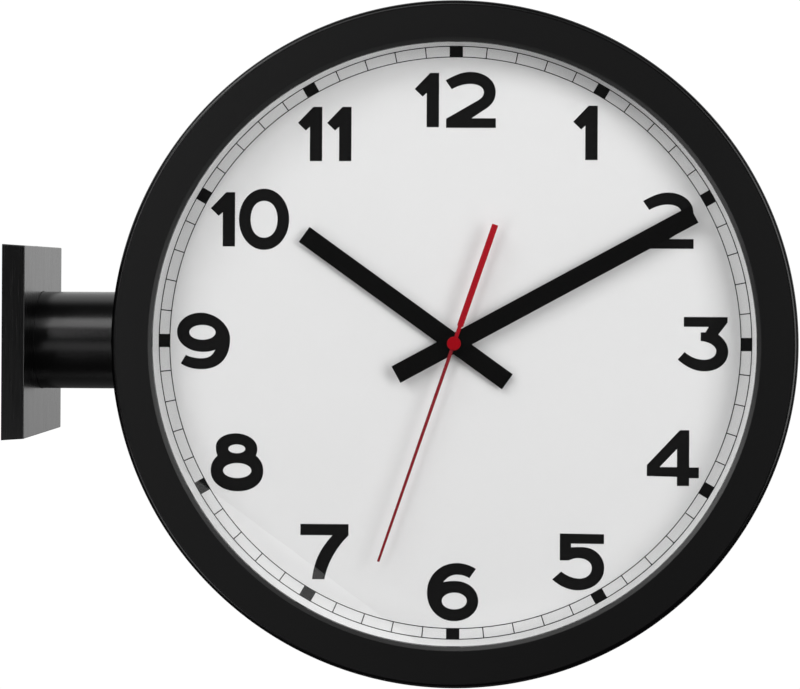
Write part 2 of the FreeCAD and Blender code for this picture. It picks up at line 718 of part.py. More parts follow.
# --- Wall bracket and cover --------------------------------------------------------------------
def cover_screw(side):
    """Countersunk screw through the cover's top (side 1) or bottom (side -1) wall."""
    head_z = COVER_SCREW_TOP - CONE_H
    head = Part.makeCone(M3_R, M3_HEAD_R, CONE_H, V(COVER_SCREW_X, 0, head_z))
    screw = head.fuse(rod(M3_R, COVER_SCREW_TIP, head_z, V(COVER_SCREW_X, 0, 0)))
    return screw if side > 0 else about_arm(screw, 180)


def cover_screws():
    """Two screws that hold the cover."""
    return [cover_screw(1), cover_screw(-1)]


def wall_bracket():
    """Square plate with four wall holes, a spigot for the arm and two tabs for the cover."""
    half = BRACKET_HALF
    base = box(0, BRACKET_T, -half, half, -half, half)
    spigot = rod_x(SPIGOT_R, BRACKET_T, SPIGOT_END_X)
    solids = [base, spigot]
    for low, high in ((half, TAB_Z), (-TAB_Z, -half)):
        solids.append(box(0, BRACKET_T, -TAB_HALF, TAB_HALF, low, high))
    for low in (TAB_Z - TAB_T, -TAB_Z):
        solids.append(box(0, TAB_END_X, -TAB_HALF, TAB_HALF, low, low + TAB_T))
    tools = [rod_x(SPIGOT_IN_R, BRACKET_T, SPIGOT_END_X)]
    for y in (-WALL_HOLE_PITCH, WALL_HOLE_PITCH):
        for z in (-WALL_HOLE_PITCH, WALL_HOLE_PITCH):
            tools.append(rod_x(WALL_HOLE_R, 0, BRACKET_T, y, z))
    tools += set_screw_holes()
    return cut(fused(solids), tools + cover_screws())


def frustum(wall_half, face_half, depth_x):
    """Square block along X whose sides taper from the wall face to the outer face."""
    wires = []
    for half, x in ((wall_half, 0.0), (face_half, depth_x)):
        corners = [V(x, -half, -half), V(x, half, -half), V(x, half, half), V(x, -half, half)]
        wires.append(Part.makePolygon(corners + corners[:1]))
    return Part.makeLoft(wires, True, True)


def wall_cover():
    """Square cover over the bracket, open at the wall and pierced for the arm."""
    inner_depth = COVER_DEPTH - COVER_WALL
    taper = (COVER_WALL_HALF - COVER_FACE_HALF) * inner_depth / COVER_DEPTH
    inner_half = COVER_WALL_HALF - COVER_WALL
    outside = frustum(COVER_WALL_HALF, COVER_FACE_HALF, COVER_DEPTH)
    inside = frustum(inner_half, inner_half - taper, inner_depth)
    return cut(outside, [inside, rod_x(COVER_HOLE_R, 0, COVER_DEPTH)] + cover_screws())


# --- Writing the pieces --------------------------------------------------------------------------
SIDE_PIECES = (bezel, glass, glass_gasket, dial_ring, dial, movement_case, movement_cover,
               circuit_board, coil, stator, battery, battery_contacts, second_hand,
               seconds_wheel, minute_hand, minute_arbor, hour_hand, hour_wheel, centre_wheel,
               third_wheel, intermediate_wheel, rotor, minute_wheel, setting_knob)
DRUM_PIECES = (case_band, bezel_screws, dial_screws, movement_nuts)
ARM_PIECES = (wall_bracket, wall_cover, cover_screws, arm_tube, arm_set_screws, arm_flange,
              arm_saddle, arm_bolts)


def write(name, made, placement):
    """Place a piece, or the group of solids of a piece, and write its file."""
    group = made if isinstance(made, list) else [made]
    solids = [solid for shape in group for solid in shape.Solids]
    shape = solids[0] if len(solids) == 1 else Part.makeCompound(solids)
    shape.Placement = placement.multiply(shape.Placement)
    shape.exportStep("parts/" + name + ".step")
    box_of = shape.BoundBox
    print("%-26s solids %d volume %10.1f x %7.2f..%7.2f y %7.2f..%7.2f z %7.2f..%7.2f" % (
        name, len(solids), shape.Volume, box_of.XMin, box_of.XMax,
        box_of.YMin, box_of.YMax, box_of.ZMin, box_of.ZMax))


os.makedirs("parts", exist_ok=True)
for side, placement in SIDES:
    for piece in SIDE_PIECES:
        write(side + "_" + piece.__name__, piece(), placement)
for piece in DRUM_PIECES:
    write(piece.__name__, piece(), FRONT)
for piece in ARM_PIECES:
    write(piece.__name__, piece(), FreeCAD.Placement())
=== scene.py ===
"""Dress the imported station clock: finishes, printed dials, finer pieces, studio and camera.

Lengths in the piece classes are millimetres, as on a drawing, and become the metres of the
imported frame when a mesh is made. Each side of the clock has a face frame: x to its viewer's
right, y up, z towards its viewer, and the origin in the middle of the drum.
"""
import json
import logging
import math
from collections.abc import Iterable, Sequence
from dataclasses import dataclass, field
from enum import Enum

import bmesh
import bpy
from mathutils import Matrix, Vector
from mathutils.geometry import tessellate_polygon


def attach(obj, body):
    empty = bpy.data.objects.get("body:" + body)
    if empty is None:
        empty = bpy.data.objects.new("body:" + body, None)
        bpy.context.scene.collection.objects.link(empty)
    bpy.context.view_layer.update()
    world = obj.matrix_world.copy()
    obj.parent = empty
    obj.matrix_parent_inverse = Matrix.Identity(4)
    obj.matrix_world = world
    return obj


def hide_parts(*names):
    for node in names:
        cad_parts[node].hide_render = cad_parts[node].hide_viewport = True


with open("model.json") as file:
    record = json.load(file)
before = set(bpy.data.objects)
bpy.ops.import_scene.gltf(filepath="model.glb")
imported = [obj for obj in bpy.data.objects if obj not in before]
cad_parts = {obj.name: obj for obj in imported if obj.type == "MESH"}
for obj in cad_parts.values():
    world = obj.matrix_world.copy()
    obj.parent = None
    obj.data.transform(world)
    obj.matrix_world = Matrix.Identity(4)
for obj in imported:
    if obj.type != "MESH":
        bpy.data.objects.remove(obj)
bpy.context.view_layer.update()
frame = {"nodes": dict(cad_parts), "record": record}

LOG = logging.getLogger("station_clock")
MM = 0.001
REACH = 261.0
PRINT_FLOOR = 24.95
PRINT_TOP = 25.06
NOISE_SPAN = (0.3, 0.7)

Point = tuple[float, float]
Colour = tuple[float, float, float]
Stroke = tuple[float, ...]


# --- Frames ----------------------------------------------------------------------------------
class Side(Enum):
    """The two sides of the clock, each seen by its own viewer."""

    FRONT = "front"
    REAR = "rear"

    def to_row(self) -> Matrix:
        """Give the matrix from this side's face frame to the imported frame.

        Returns:
            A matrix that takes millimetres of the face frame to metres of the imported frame.
        """
        way = 1.0 if self is Side.FRONT else -1.0
        turn = Matrix(((way, 0, 0, REACH), (0, 0, -way, 0), (0, 1, 0, 0), (0, 0, 0, 1)))
        return Matrix.Scale(MM, 4) @ turn


def wall_to_row() -> Matrix:
    """Give the matrix from millimetres of the wall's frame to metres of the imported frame."""
    return Matrix.Scale(MM, 4)


# --- Mesh sketches ---------------------------------------------------------------------------
@dataclass
class Sketch:
    """Points and faces of one mesh, gathered before the piece is made."""

    points: list[Vector] = field(default_factory=list)
    faces: list[tuple[int, ...]] = field(default_factory=list)

    def add(self, points: Iterable[Vector], faces: Iterable[Sequence[int]]) -> None:
        """Add a body to the sketch.

        Args:
            points: The body's points.
            faces: Its faces, as numbers of those points.
        """
        start = len(self.points)
        self.points.extend(points)
        self.faces.extend(tuple(start + n for n in face) for face in faces)

    def loops(self, rings: Sequence[Sequence[Vector]], closed: bool = True) -> None:
        """Join rings of the same count into a skin.

        Args:
            rings: The rings, in order along the skin.
            closed: Whether the last ring joins the first. Otherwise both ends get a cap.
        """
        count = len(rings[0])
        total = len(rings)
        faces: list[tuple[int, ...]] = []
        for row in range(total if closed else total - 1):
            here = row * count
            there = ((row + 1) % total) * count
            for n in range(count):
                m = (n + 1) % count
                faces.append((here + n, here + m, there + m, there + n))
        if not closed:
            faces.append(tuple(range(count)))
            faces.append(tuple((total - 1) * count + n for n in range(count)))
        self.add([point for ring in rings for point in ring], faces)

    def prism(self, contours: Sequence[Sequence[Point]], low: float, high: float) -> None:
        """Add a plate with straight walls.

        Args:
            contours: The outline first, then any holes.
            low: Level of the lower face.
            high: Level of the upper face.
        """
        flat = [[Vector((x, y, 0)) for x, y in contour] for contour in contours]
        corners = [point for contour in flat for point in contour]
        count = len(corners)
        faces: list[tuple[int, ...]] = []
        for a, b, c in tessellate_polygon(flat):
            faces.append((count + a, count + b, count + c))
            faces.append((c, b, a))
        start = 0
        for contour in flat:
            size = len(contour)
            for n in range(size):
                m = (n + 1) % size
                faces.append((start + n, start + m, count + start + m, count + start + n))
            start += size
        points = [point + Vector((0, 0, level)) for level in (low, high) for point in corners]
        self.add(points, faces)

    def piece(self, name: str, to_row: Matrix, crease: float = 30.0) -> bpy.types.Object:
        """Make the mesh object.

        Args:
            name: Name of the piece.
            to_row: Matrix from the sketch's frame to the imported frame.
            crease: Edges that turn by more degrees than this stay sharp.

        Returns:
            The new object, linked to the scene.
        """
        mesh = bpy.data.meshes.new(name)
        mesh.from_pydata([to_row @ point for point in self.points], [], self.faces)
        work = bmesh.new()
        work.from_mesh(mesh)
        bmesh.ops.recalc_face_normals(work, faces=work.faces)
        work.to_mesh(mesh)
        work.free()
        mesh.shade_smooth()
        mesh.set_sharp_from_angle(angle=math.radians(crease))
        made = bpy.data.objects.new(name, mesh)
        bpy.context.scene.collection.objects.link(made)
        return made


def arc(centre: Point, radius: float, start: float, end: float, steps: int) -> list[Point]:
    """Give points along an arc.

    Args:
        centre: Middle of the arc.
        radius: Its radius.
        start: Direction of the first point in degrees.
        end: Direction of the last point in degrees.
        steps: Number of pieces the arc is cut into.

    Returns:
        The points, both ends included.
    """
    made = []
    for n in range(steps + 1):
        turn = math.radians(start + (end - start) * n / steps)
        made.append((centre[0] + radius * math.cos(turn), centre[1] + radius * math.sin(turn)))
    return made


def outline(strokes: Sequence[Stroke], steps: int = 14) -> list[Point]:
    """Draw a closed outline from strokes.

    Args:
        strokes: The start point, then a point for each straight stroke, or two handles and a
            point for each curved one.
        steps: Number of pieces a curved stroke is cut into.

    Returns:
        The points of the outline.
    """
    drawn: list[Point] = [(strokes[0][0], strokes[0][1])]
    for stroke in strokes[1:]:
        if len(stroke) == 2:
            drawn.append((stroke[0], stroke[1]))
            continue
        x0, y0 = drawn[-1]
        x1, y1, x2, y2, x3, y3 = stroke
        for n in range(1, steps + 1):
            t = n / steps
            s = 1 - t
            drawn.append((
                s ** 3 * x0 + 3 * s * s * t * x1 + 3 * s * t * t * x2 + t ** 3 * x3,
                s ** 3 * y0 + 3 * s * s * t * y1 + 3 * s * t * t * y2 + t ** 3 * y3,
            ))
    if math.dist(drawn[0], drawn[-1]) < 1e-6:
        drawn.pop()
    return drawn


def oval(x: float, y: float, half_w: float, half_h: float, fullness: float = 0.56) -> list[Point]:
    """Draw an oval.

    Args:
        x: Middle, across.
        y: Middle, up.
        half_w: Half its width.
        half_h: Half its height.
        fullness: Length of the curve handles as a share of the half sizes.

    Returns:
        The points of the oval.
    """
    w, h = half_w * fullness, half_h * fullness
    return outline((
        (x - half_w, y),
        (x - half_w, y + h, x - w, y + half_h, x, y + half_h),
        (x + w, y + half_h, x + half_w, y + h, x + half_w, y),
        (x + half_w, y - h, x + w, y - half_h, x, y - half_h),
        (x - w, y - half_h, x - half_w, y - h, x - half_w, y),
    ))


# --- Finishes --------------------------------------------------------------------------------
@dataclass
class NodeBench:
    """A shader node tree and the few moves that building one takes."""

    tree: bpy.types.NodeTree

    @classmethod
    def cleared(cls, owner: bpy.types.Material | bpy.types.World) -> "NodeBench":
        """Give the emptied node tree of a material or world."""
        owner.use_nodes = True
        owner.node_tree.nodes.clear()
        return cls(owner.node_tree)

    def add(self, kind: str, values: dict[str, object] | None = None, **settings: object
            ) -> bpy.types.Node:
        """Add a node.

        Args:
            kind: Blender's name of the node type.
            values: Values of its input sockets, by socket name.
            **settings: Properties of the node.

        Returns:
            The new node.
        """
        node = self.tree.nodes.new(kind)
        for key, value in settings.items():
            setattr(node, key, value)
        for key, value in (values or {}).items():
            node.inputs[key].default_value = value
        return node

    def join(self, source: bpy.types.NodeSocket, target: bpy.types.NodeSocket) -> None:
        """Join an output socket to an input socket."""
        self.tree.links.new(source, target)

    def noise(self, scale: float, detail: float = 3.0, stretch: Colour = (1, 1, 1)
              ) -> bpy.types.NodeSocket:
        """Add noise over the piece's own coordinates.

        Args:
            scale: Number of grains in a metre.
            detail: Number of finer layers.
            stretch: Share of the scale along x, y and z.

        Returns:
            The noise's factor socket.
        """
        place = self.add("ShaderNodeTexCoord")
        mapping = self.add("ShaderNodeMapping", {"Scale": stretch})
        grain = self.add("ShaderNodeTexNoise", {"Scale": scale, "Detail": detail})
        self.join(place.outputs["Object"], mapping.inputs["Vector"])
        self.join(mapping.outputs["Vector"], grain.inputs["Vector"])
        return grain.outputs["Fac"]

    def fade(self, source: bpy.types.NodeSocket, span: Point, low: float = 0.0,
             high: float = 1.0, kind: str = "SMOOTHSTEP") -> bpy.types.NodeSocket:
        """Map a span of a value to a range.

        Args:
            source: The value.
            span: Where in it the range starts and where it ends.
            low: Result at the span's start.
            high: Result at its end.
            kind: Blender's name of the way between them.

        Returns:
            The socket of the mapped value.
        """
        ranged = self.add("ShaderNodeMapRange", {
            "From Min": span[0], "From Max": span[1], "To Min": low, "To Max": high},
            interpolation_type=kind)
        self.join(source, ranged.inputs["Value"])
        return ranged.outputs["Result"]

    def blend(self, factor: bpy.types.NodeSocket, dark: Colour, light: Colour
              ) -> bpy.types.NodeSocket:
        """Mix two colours.

        Args:
            factor: Share of the second colour.
            dark: First colour.
            light: Second colour.

        Returns:
            The socket of the mixed colour.
        """
        mix = self.add("ShaderNodeMix", data_type="RGBA")
        mix.inputs[6].default_value = (*dark, 1.0)
        mix.inputs[7].default_value = (*light, 1.0)
        self.join(factor, mix.inputs[0])
        return mix.outputs[2]


@dataclass(frozen=True)
class Finish:
    """A solid surface finish with its own grain.

    Attributes:
        name: Name of the material.
        colour: Its colour in linear light.
        roughness: Middle of its roughness.
        metallic: One for bare metal.
        specular: Strength of the plain shine of a coat or plastic.
        mottle: Share by which the colour wanders.
        wander: Amount by which the roughness wanders.
        grain: Number of grains in a metre.
        relief: Height of the grain in millimetres.
        relief_grain: How much finer the relief is than the grain of the colour.
        stretch: Share of the grain's scale along x, y and z.
        coat: Weight of a clear coat.
    """

    name: str
    colour: Colour
    roughness: float = 0.45
    metallic: float = 0.0
    specular: float = 0.5
    mottle: float = 0.08
    wander: float = 0.05
    grain: float = 900.0
    relief: float = 0.01
    relief_grain: float = 1.7
    stretch: Colour = (1.0, 1.0, 1.0)
    coat: float = 0.0

    def shade(self, share: float) -> Colour:
        """Give the colour, lighter or darker by a share."""
        return tuple(min(1.0, c * (1 + share)) for c in self.colour)

    def colour_socket(self, bench: NodeBench, grain: bpy.types.NodeSocket
                      ) -> bpy.types.NodeSocket:
        """Make the colour of the surface.

        Args:
            bench: The material's nodes.
            grain: Noise of the surface's grain.

        Returns:
            The socket of the colour.
        """
        share = bench.fade(grain, NOISE_SPAN, kind="LINEAR")
        return bench.blend(share, self.shade(-self.mottle), self.shade(self.mottle))

    def roughness_socket(self, bench: NodeBench, grain: bpy.types.NodeSocket
                         ) -> bpy.types.NodeSocket:
        """Make the roughness of the surface.

        Args:
            bench: The material's nodes.
            grain: Noise of the surface's grain.

        Returns:
            The socket of the roughness.
        """
        low, high = self.roughness - self.wander, self.roughness + self.wander
        return bench.fade(grain, NOISE_SPAN, low, high, "LINEAR")

    def material(self) -> bpy.types.Material:
        """Make the material, or find it if it is made.

        Returns:
            The material.
        """
        known = bpy.data.materials.get("finish_" + self.name)
        if known:
            return known
        made = bpy.data.materials.new("finish_" + self.name)
        bench = NodeBench.cleared(made)
        self.lay(bench)
        made.diffuse_color = (*self.colour, 1.0)
        return made

    def lay(self, bench: NodeBench) -> None:
        """Build the shader.

        Args:
            bench: The material's emptied nodes.
        """
        shader = bench.add("ShaderNodeBsdfPrincipled", {
            "Metallic": self.metallic, "Specular IOR Level": self.specular,
            "Coat Weight": self.coat})
        out = bench.add("ShaderNodeOutputMaterial")
        grain = bench.noise(self.grain, 4.0, self.stretch)
        bench.join(self.colour_socket(bench, grain), shader.inputs["Base Color"])
        bench.join(self.roughness_socket(bench, grain), shader.inputs["Roughness"])
        bump = bench.add("ShaderNodeBump", {"Strength": 1.0, "Distance": self.relief * MM})
        height = bench.noise(self.grain * self.relief_grain, 2.0, self.stretch)
        bench.join(height, bump.inputs["Height"])
        bench.join(bump.outputs["Normal"], shader.inputs["Normal"])
        bench.join(shader.outputs["BSDF"], out.inputs["Surface"])


@dataclass(frozen=True)
class RimCoat(Finish):
    """The coat of a bezel: dull face, smoother shoulder and lip, and a painted sheen on the lip.

    Attributes:
        lip_r: Radius in millimetres within which the lip lies.
        shoulder_r: Radius in millimetres beyond which the shoulder lies.
        lip_fade: Width in millimetres over which the lip's look fades out.
        shoulder_fade: Width in millimetres over which the shoulder's look fades in.
        smooth: Roughness of lip and shoulder.
        lip_sheen: Paler colour of the lip, a painted sheen for the light that the lip catches.
    """

    lip_r: float = 178.0
    shoulder_r: float = 197.0
    lip_fade: float = 0.2
    shoulder_fade: float = 0.3
    smooth: float = 0.26
    # Painted sheen: the lip is painted paler than the face to stand in for the light it catches.
    lip_sheen: Colour = (0.022, 0.022, 0.022)

    def zone(self, bench: NodeBench, start: float, end: float) -> bpy.types.NodeSocket:
        """Mark a zone of the ring.

        Args:
            bench: The material's nodes.
            start: Radius in millimetres where the zone fades in.
            end: Radius in millimetres where it is full.

        Returns:
            The socket of the zone's share, from zero to one.
        """
        place = bench.add("ShaderNodeTexCoord")
        centred = bench.add("ShaderNodeMapping", {
            "Location": (-REACH * MM, 0.0, 0.0), "Scale": (1.0, 0.0, 1.0)})
        radius = bench.add("ShaderNodeVectorMath", operation="LENGTH")
        bench.join(place.outputs["Object"], centred.inputs["Vector"])
        bench.join(centred.outputs["Vector"], radius.inputs[0])
        return bench.fade(radius.outputs["Value"], (start * MM, end * MM), kind="LINEAR")

    def colour_socket(self, bench: NodeBench, grain: bpy.types.NodeSocket
                      ) -> bpy.types.NodeSocket:
        """Make the colour of the face, painted paler on the lip as a painted sheen.

        Args:
            bench: The material's nodes.
            grain: Noise of the surface's grain.

        Returns:
            The socket of the colour.
        """
        # Painted sheen: within the lip's zone the colour turns to the paler lip colour.
        mix = bench.add("ShaderNodeMix", data_type="RGBA")
        mix.inputs[7].default_value = (*self.lip_sheen, 1.0)
        bench.join(self.zone(bench, self.lip_r + self.lip_fade, self.lip_r), mix.inputs[0])
        bench.join(super().colour_socket(bench, grain), mix.inputs[6])
        return mix.outputs[2]

    def roughness_socket(self, bench: NodeBench, grain: bpy.types.NodeSocket
                         ) -> bpy.types.NodeSocket:
        """Make the roughness of the face and of its two edges.

        Args:
            bench: The material's nodes.
            grain: Noise of the surface's grain.

        Returns:
            The socket of the roughness.
        """
        value = super().roughness_socket(bench, grain)
        for start, end in ((self.lip_r + self.lip_fade, self.lip_r),
                           (self.shoulder_r - self.shoulder_fade, self.shoulder_r)):
            mix = bench.add("ShaderNodeMix", data_type="FLOAT")
            mix.inputs[3].default_value = self.smooth
            bench.join(self.zone(bench, start, end), mix.inputs[0])
            bench.join(value, mix.inputs[2])
            value = mix.outputs[0]
        return value


@dataclass(frozen=True)
class ClearPane(Finish):
    """Clear flat glass: it mirrors a little face on and more at a glance, and passes the rest.

    Attributes:
        mirror: Share that it mirrors face on.
        steepness: Power by which that share grows towards a glancing view.
    """

    mirror: float = 0.04
    steepness: float = 5.0

    def lay(self, bench: NodeBench) -> None:
        """Build the shader.

        Args:
            bench: The material's emptied nodes.
        """
        facing = bench.add("ShaderNodeLayerWeight", {"Blend": 0.5})
        steep = bench.add("ShaderNodeMath", operation="POWER")
        steep.inputs[1].default_value = self.steepness
        share = bench.add("ShaderNodeMath", operation="MULTIPLY_ADD")
        share.inputs[1].default_value = 1.0 - self.mirror
        share.inputs[2].default_value = self.mirror
        through = bench.add("ShaderNodeBsdfTransparent", {"Color": (*self.colour, 1.0)})
        gloss = bench.add("ShaderNodeBsdfAnisotropic", {"Color": (1, 1, 1, 1), "Roughness": 0.0})
        mix = bench.add("ShaderNodeMixShader")
        out = bench.add("ShaderNodeOutputMaterial")
        bench.join(facing.outputs["Facing"], steep.inputs[0])
        bench.join(steep.outputs["Value"], share.inputs[0])
        bench.join(share.outputs["Value"], mix.inputs[0])
        bench.join(through.outputs["BSDF"], mix.inputs[1])
        bench.join(gloss.outputs["BSDF"], mix.inputs[2])
        bench.join(mix.outputs["Shader"], out.inputs["Surface"])


class Coat(Enum):
    """The clock's finishes, under the names of the record's material slots."""

    BLACK = Finish("black_coat", (0.0008, 0.0008, 0.0009), 0.42, specular=0.25, mottle=0.12,
                   wander=0.04, grain=1400.0, relief=0.005)
    GLASS = ClearPane("clear_glass", (0.99, 0.99, 0.99))
    RUBBER = Finish("seal_rubber", (0.012, 0.012, 0.012), 0.75, specular=0.3)
    SPACER = Finish("spacer_plastic", (0.78, 0.78, 0.78), 0.55, mottle=0.02)
    DIAL = Finish("dial_white", (0.85, 0.85, 0.85), 0.62, specular=0.35, mottle=0.006,
                  wander=0.03, grain=160.0, relief=0.001)
    MOULDED = Finish("movement_plastic", (0.02, 0.02, 0.021), 0.5)
    BOARD = Finish("board_green", (0.01, 0.09, 0.035), 0.35, coat=0.3, grain=500.0)
    COPPER = Finish("copper_winding", (0.60, 0.20, 0.08), 0.3, metallic=1.0, grain=6000.0,
                    relief=0.05, stretch=(1.0, 1.0, 0.05))
    MOTOR = Finish("motor_steel", (0.42, 0.42, 0.44), 0.35, metallic=1.0)
    JACKET = Finish("battery_jacket", (0.05, 0.07, 0.10), 0.3, coat=0.5, grain=300.0)
    SPRING = Finish("nickel_spring", (0.62, 0.60, 0.56), 0.25, metallic=1.0)
    RED = Finish("hand_red", (0.375, 0.0045, 0.0125), 0.5, specular=0.10, grain=1500.0,
                 relief=0.003)
    HAND = Finish("hand_black", (0.0012, 0.0012, 0.0012), 0.6, specular=0.05, grain=1800.0,
                  relief=0.004)
    GEAR = Finish("gear_plastic", (0.70, 0.68, 0.62), 0.45, grain=700.0)
    BRASS = Finish("brass_arbor", (0.70, 0.47, 0.17), 0.3, metallic=1.0)
    MAGNET = Finish("magnet", (0.10, 0.10, 0.105), 0.5, metallic=0.6)
    SCREW = Finish("black_screw", (0.02, 0.02, 0.021), 0.38, metallic=0.4, grain=2500.0)
    ZINC = Finish("zinc_screw", (0.52, 0.53, 0.55), 0.32, metallic=1.0, grain=2500.0)
    NICKEL = Finish("nickel_nut", (0.63, 0.61, 0.57), 0.25, metallic=1.0)
    BRACKET = Finish("bracket_steel", (0.34, 0.345, 0.35), 0.42, metallic=1.0, grain=300.0)

    @staticmethod
    def of_slot(slot: str) -> "Coat":
        """Find the finish of a material slot of the record."""
        return next(coat for coat in Coat if coat.value.name == slot)


SATIN = Finish("satin_coat", (0.0025, 0.0025, 0.0026), 0.23, mottle=0.10, wander=0.03,
               grain=1500.0, relief=0.003)
BRUSHED = Finish("brushed_coat", (0.0010, 0.0010, 0.0011), 0.24, mottle=0.10, wander=0.04,
                 grain=1500.0, relief=0.005, stretch=(1.0, 1.0, 0.03))
RIM = RimCoat("rim_coat", (0.0008, 0.0008, 0.0009), 0.42, specular=0.25, mottle=0.12,
              wander=0.04, grain=1400.0, relief=0.005)
NEEDLE_RED = Finish("needle_red", (0.23, 0.012, 0.018), 0.5, specular=0.10, grain=1500.0,
                    relief=0.003)
CAP_RED = Finish("cap_red", (0.335, 0.0010, 0.0065), 0.42, specular=0.06, grain=1200.0,
                 relief=0.002)
INK = Finish("dial_ink", (0.0028, 0.0028, 0.0028), 0.65, specular=0.10, mottle=0.08,
             grain=2000.0, relief=0.001)


# --- Sub-assemblies --------------------------------------------------------------------------
@dataclass
class SubAssembly:
    """A group of pieces that is built and dressed together."""

    pieces: list[bpy.types.Object] = field(default_factory=list, init=False)

    def seat(self, piece: bpy.types.Object, coat: Finish, slot: str, body: str = "root",
             stands_for: Sequence[str] = ()) -> None:
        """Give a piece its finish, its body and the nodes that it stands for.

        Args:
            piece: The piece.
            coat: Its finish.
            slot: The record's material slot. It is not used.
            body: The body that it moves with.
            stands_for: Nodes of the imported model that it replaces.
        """
        piece.data.materials.append(coat.material())
        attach(piece, body)
        if stands_for:
            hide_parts(*stands_for)
        self.pieces.append(piece)

    def build(self) -> None:
        """Make the meshes of the pieces."""

    def dress(self) -> None:
        """Give the pieces their finishes and bodies."""


@dataclass
class PackedPieces(SubAssembly):
    """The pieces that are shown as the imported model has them."""

    def dress(self) -> None:
        """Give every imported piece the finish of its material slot."""
        for part in frame["record"]["subparts"]:
            piece = frame["nodes"][part["node"]]
            coat = Coat.of_slot(part["material_slot"]).value
            if part["node"] == "arm_tube":
                coat = SATIN
            piece.data.materials.clear()
            piece.data.materials.append(coat.material())
            self.pieces.append(piece)


ONE: tuple[Stroke, ...] = (
    (0.0, 22.5), (4.7, 18.0), (7.14, 20.2), (7.14, 0.0), (14.4, 0.0), (14.4, 32.0), (9.1, 32.0))
TWO: tuple[Stroke, ...] = (
    (0.0, 28.0), (4.5, 30.5, 9.3, 33.0, 14.66, 33.0), (22.9, 33.0, 29.55, 28.2, 29.55, 21.05),
    (29.55, 16.9, 27.6, 13.9, 24.1, 11.5), (15.4, 5.7), (29.7, 5.7), (29.7, 0.0), (0.4, 0.0),
    (0.4, 5.4), (18.4, 15.8), (21.2, 17.4, 22.55, 18.9, 22.55, 21.05),
    (22.55, 24.0, 19.2, 25.9, 14.5, 25.9), (10.6, 25.9, 6.9, 24.6, 3.65, 22.7))
THREE: tuple[Stroke, ...] = (
    (3.5, 31.9), (29.15, 31.9), (29.15, 28.7), (23.75, 21.65), (27.2, 19.0, 29.6, 15.8, 29.6, 11.6),
    (29.6, 4.6, 23.4, 0.0, 15.45, 0.0), (10.2, 0.0, 4.6, 2.6, 0.0, 6.9), (4.05, 11.3),
    (7.5, 8.4, 11.3, 6.85, 15.3, 6.85), (19.6, 6.85, 22.55, 9.0, 22.55, 11.9),
    (22.55, 15.0, 18.2, 17.5, 13.44, 17.8), (13.44, 22.9), (16.2, 22.9), (18.15, 26.1), (3.5, 26.1))
FOUR: tuple[Stroke, ...] = (
    (19.3, 32.7), (24.8, 32.7), (24.8, 10.9), (30.5, 10.9), (30.5, 4.6), (24.8, 4.6), (24.8, 0.0),
    (17.65, 0.0), (17.65, 5.3), (0.0, 5.7), (0.0, 12.2))
FOUR_EYE: tuple[Stroke, ...] = ((17.65, 21.7), (17.65, 11.0), (7.5, 11.0))
FIVE: tuple[Stroke, ...] = (
    (4.4, 33.3), (30.3, 33.0), (30.3, 27.25), (11.0, 27.4), (11.0, 25.2),
    (13.0, 25.4, 15.4, 25.45, 17.7, 25.4), (25.5, 25.2, 30.5, 19.6, 30.5, 13.2),
    (30.5, 5.3, 23.6, 0.0, 15.0, 0.0), (9.6, 0.0, 4.3, 2.4, 0.0, 6.3), (5.2, 10.95),
    (8.6, 8.6, 12.0, 6.9, 15.9, 6.9), (20.3, 6.9, 23.2, 9.6, 23.2, 13.2),
    (23.2, 16.6, 19.6, 18.9, 15.0, 18.9), (12.8, 18.9, 11.4, 18.2, 9.75, 17.5), (4.4, 17.5))
SIX: tuple[Stroke, ...] = (
    (0.0, 16.8), (0.0, 26.6, 7.6, 34.15, 17.6, 34.15), (21.8, 34.15, 25.6, 32.8, 28.8, 30.8),
    (24.9, 25.3), (22.6, 26.7, 20.2, 27.3, 17.6, 27.3), (14.2, 27.3, 11.7, 25.6, 9.5, 22.8),
    (11.6, 23.4, 14.2, 23.6, 16.8, 23.6), (24.6, 23.6, 30.2, 18.4, 30.2, 11.7),
    (30.2, 5.0, 23.6, 0.0, 15.9, 0.0), (6.6, 0.0, 0.0, 7.2, 0.0, 16.8))
SEVEN: tuple[Stroke, ...] = (
    (0.0, 32.5), (28.4, 32.5), (28.4, 25.8), (22.6, 20.3, 16.2, 10.8, 14.3, 0.0), (7.0, 0.0),
    (8.2, 11.2, 12.0, 18.2, 18.86, 25.9), (0.0, 25.9))
EIGHT: tuple[Stroke, ...] = (
    (3.0, 26.05), (3.0, 31.0, 8.2, 34.15, 14.7, 34.15), (21.2, 34.15, 27.56, 30.6, 27.56, 25.0),
    (27.56, 23.6, 27.2, 22.2, 26.7, 21.1), (29.8, 18.5, 31.1, 15.6, 31.1, 11.9),
    (31.1, 4.6, 24.8, 0.0, 16.0, 0.0), (7.0, 0.0, 0.0, 5.0, 0.0, 12.05),
    (0.0, 16.0, 1.6, 18.9, 4.0, 20.9), (3.3, 22.6, 3.0, 24.2, 3.0, 26.05))
NINE: tuple[Stroke, ...] = (
    (0.0, 22.1), (0.0, 28.4, 6.3, 33.35, 14.0, 33.35), (22.8, 33.35, 31.45, 26.4, 31.45, 17.9),
    (31.45, 7.0, 25.5, 0.0, 14.6, 0.0), (9.6, 0.0, 5.3, 1.2, 2.26, 3.4), (5.3, 8.4),
    (8.0, 7.1, 11.3, 6.45, 14.3, 6.45), (18.6, 6.45, 21.0, 7.9, 22.65, 11.5),
    (20.6, 10.7, 18.2, 10.2, 15.5, 10.2), (6.6, 10.2, 0.0, 15.3, 0.0, 22.1))


